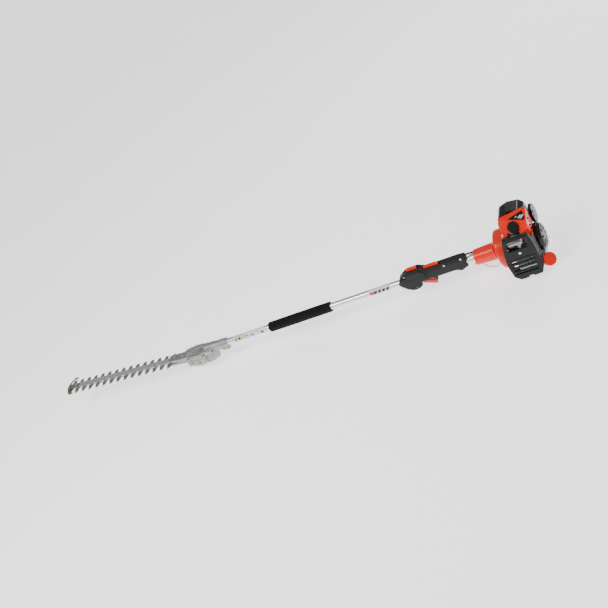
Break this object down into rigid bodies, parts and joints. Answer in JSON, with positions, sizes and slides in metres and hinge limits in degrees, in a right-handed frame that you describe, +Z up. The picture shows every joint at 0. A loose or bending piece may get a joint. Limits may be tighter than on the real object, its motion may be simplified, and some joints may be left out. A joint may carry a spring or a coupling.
{
  "type": "pole hedge trimmer",
  "caption": "Long-reach hedge trimmer: petrol engine, drive tube with grip and throttle handle, gearcase and double-sided reciprocating blades.",
  "frame": {"origin": "on the drive tube axis, in the middle of the bare length where a harness hanger clamps", "axes": "+X along the tube towards the engine, +Z up (throttle trigger downwards), -Y the muffler side"},
  "size_m": [2.0766, 0.1985, 0.2012],
  "materials": {
    "blade_steel": "ground",
    "bar_steel": "polished",
    "cast_aluminium": "cast",
    "tube_aluminium": "satin",
    "gear_steel": "machined",
    "bearing_steel": "polished",
    "zinc_steel": "zinc plated",
    "tip_alloy": "cast",
    "brass": "plain",
    "piston_alloy": "machined",
    "foam": "foam",
    "black_plastic": "grained",
    "orange_plastic": "gloss",
    "orange_trim": "satin",
    "rubber": "matt",
    "lead_green": "insulation",
    "tank_plastic": "translucent",
    "filter_foam": "foam"
  },
  "bodies": {
    "chassis": {"guide_bar": "bar_steel", "bar_bolts": "zinc_steel", "bar_spacers": "zinc_steel", "tip_guard": "tip_alloy", "gearcase_upper": "cast_aluminium", "gearcase_lower": "cast_aluminium", "gearcase_screws": "zinc_steel", "grease_nipple": "brass", "bearings": "bearing_steel", "drive_tube": "tube_aluminium", "shaft_bushes": "black_plastic", "foam_grip": "foam", "handle_left": "black_plastic", "handle_right": "black_plastic", "handle_screws": "zinc_steel", "control_sleeve": "rubber", "ground_lead": "lead_green", "neck_clamp": "zinc_steel", "damper_sleeve": "rubber", "fan_case": "orange_plastic", "ignition_coil": "gear_steel", "crankcase": "cast_aluminium", "cylinder": "cast_aluminium", "spark_plug": "zinc_steel", "plug_cap": "rubber", "spark_lead": "rubber", "engine_cover": "orange_plastic", "intake_insulator": "black_plastic", "carburettor": "cast_aluminium", "air_filter": "filter_foam", "air_cleaner_cover": "black_plastic", "carburettor_guard": "black_plastic", "muffler": "zinc_steel", "muffler_guard": "black_plastic", "starter_case": "black_plastic", "starter_grip": "black_plastic", "fuel_tank": "tank_plastic", "engine_screws": "zinc_steel"},
    "drive_line": {"drive_shaft": "gear_steel", "bevel_pinion": "gear_steel", "clutch_drum": "gear_steel"},
    "bevel_shaft": {"bevel_gear": "gear_steel"},
    "crank_wheel": {"crank_gear": "gear_steel"},
    "rod_up": {"rod_upper": "gear_steel"},
    "rod_low": {"rod_lower": "gear_steel"},
    "blade_up": {"blade_upper": "blade_steel"},
    "blade_low": {"blade_lower": "blade_steel"},
    "engine_crank": {"crankshaft": "gear_steel", "flywheel": "piston_alloy", "clutch_shoes": "gear_steel"},
    "piston_rod": {"piston": "piston_alloy", "connecting_rod": "gear_steel"},
    "trigger": {"throttle_trigger": "orange_trim"},
    "lockout": {"trigger_lockout": "orange_trim"},
    "switch": {"stop_switch": "orange_trim"},
    "throttle": {"throttle_valve": "zinc_steel"},
    "choke": {"choke_lever": "black_plastic"},
    "purge": {"purge_bulb": "rubber"},
    "reel": {"starter_reel": "black_plastic"},
    "cap": {"fuel_cap": "orange_plastic"}
  },
  "joints": [
    {"name": "drive_shaft_spin", "type": "hinge", "parent": "chassis", "child": "drive_line", "pos_m": [-0.55, 0, 0], "axis": [1, 0, 0], "continuous": true},
    {"name": "bevel_shaft_spin", "type": "hinge", "parent": "chassis", "child": "bevel_shaft", "pos_m": [-0.645, 0, -0.01466], "axis": [0.0698, 0, 0.9976], "continuous": true},
    {"name": "crank_wheel_spin", "type": "hinge", "parent": "chassis", "child": "crank_wheel", "pos_m": [-0.6869, 0, -0.01173], "axis": [0.0698, 0, 0.9976], "continuous": true},
    {"name": "rod_upper_turn", "type": "hinge", "parent": "crank_wheel", "child": "rod_up", "pos_m": [-0.68306, 0.00802, -0.00709], "axis": [0.0698, 0, 0.9976], "continuous": true},
    {"name": "rod_lower_turn", "type": "hinge", "parent": "crank_wheel", "child": "rod_low", "pos_m": [-0.69073, -0.00802, -0.01637], "axis": [0.0698, 0, 0.9976], "continuous": true},
    {"name": "blade_upper_slide", "type": "slide", "parent": "chassis", "child": "blade_up", "axis": [0.9976, 0, -0.0698], "range_m": [-0.01225, 0.00525]},
    {"name": "blade_lower_slide", "type": "slide", "parent": "chassis", "child": "blade_low", "axis": [0.9976, 0, -0.0698], "range_m": [-0.00525, 0.01225]},
    {"name": "crankshaft_spin", "type": "hinge", "parent": "chassis", "child": "engine_crank", "pos_m": [0.648, 0, 0], "axis": [1, 0, 0], "continuous": true},
    {"name": "piston_slide", "type": "slide", "parent": "chassis", "child": "piston_rod", "axis": [0, 0, 1], "range_m": [-0.028, 0]},
    {"name": "trigger_squeeze", "type": "hinge", "parent": "chassis", "child": "trigger", "pos_m": [0.279, 0, -0.019], "axis": [0, 1, 0], "range_deg": [-14, 0], "stiffness_Nm_per_rad": 0.6, "springref_deg": 20.05},
    {"name": "lockout_press", "type": "hinge", "parent": "chassis", "child": "lockout", "pos_m": [0.349, 0, 0.0245], "axis": [0, 1, 0], "range_deg": [-7, 0], "stiffness_Nm_per_rad": 0.5, "springref_deg": 17.19},
    {"name": "stop_switch_slide", "type": "slide", "parent": "chassis", "child": "switch", "axis": [1, 0, 0], "range_m": [0, 0.012]},
    {"name": "throttle_turn", "type": "hinge", "parent": "chassis", "child": "throttle", "pos_m": [0.648, 0.052, 0.05], "axis": [0, 0, 1], "range_deg": [-70, 0]},
    {"name": "choke_turn", "type": "hinge", "parent": "chassis", "child": "choke", "pos_m": [0.686, 0.063, 0.05], "axis": [1, 0, 0], "range_deg": [0, 75]},
    {"name": "purge_press", "type": "slide", "parent": "chassis", "child": "purge", "axis": [0, 0, 1], "range_m": [0, 0.004], "stiffness_N_per_m": 500, "deforming": ["purge_bulb"]},
    {"name": "starter_reel_turn", "type": "hinge", "parent": "chassis", "child": "reel", "pos_m": [0.712, 0, 0], "axis": [1, 0, 0], "range_deg": [0, 1080]},
    {"name": "fuel_cap_turn", "type": "hinge", "parent": "chassis", "child": "cap", "pos_m": [0.722, -0.064, -0.056], "axis": [0.6124, -0.6124, 0.5], "range_deg": [0, 360]}
  ],
  "couplings": [
    {"joint": "bevel_shaft_spin", "follows": "drive_shaft_spin", "ratio": 0.625},
    {"joint": "crank_wheel_spin", "follows": "drive_shaft_spin", "ratio": -0.25},
    {"joint": "rod_upper_turn", "follows": "drive_shaft_spin", "ratio": 0.25},
    {"joint": "rod_lower_turn", "follows": "drive_shaft_spin", "ratio": 0.25},
    {"joint": "blade_lower_slide", "follows": "blade_upper_slide", "ratio": -1},
    {"joint": "throttle_turn", "follows": "trigger_squeeze", "ratio": 5}
  ]
}
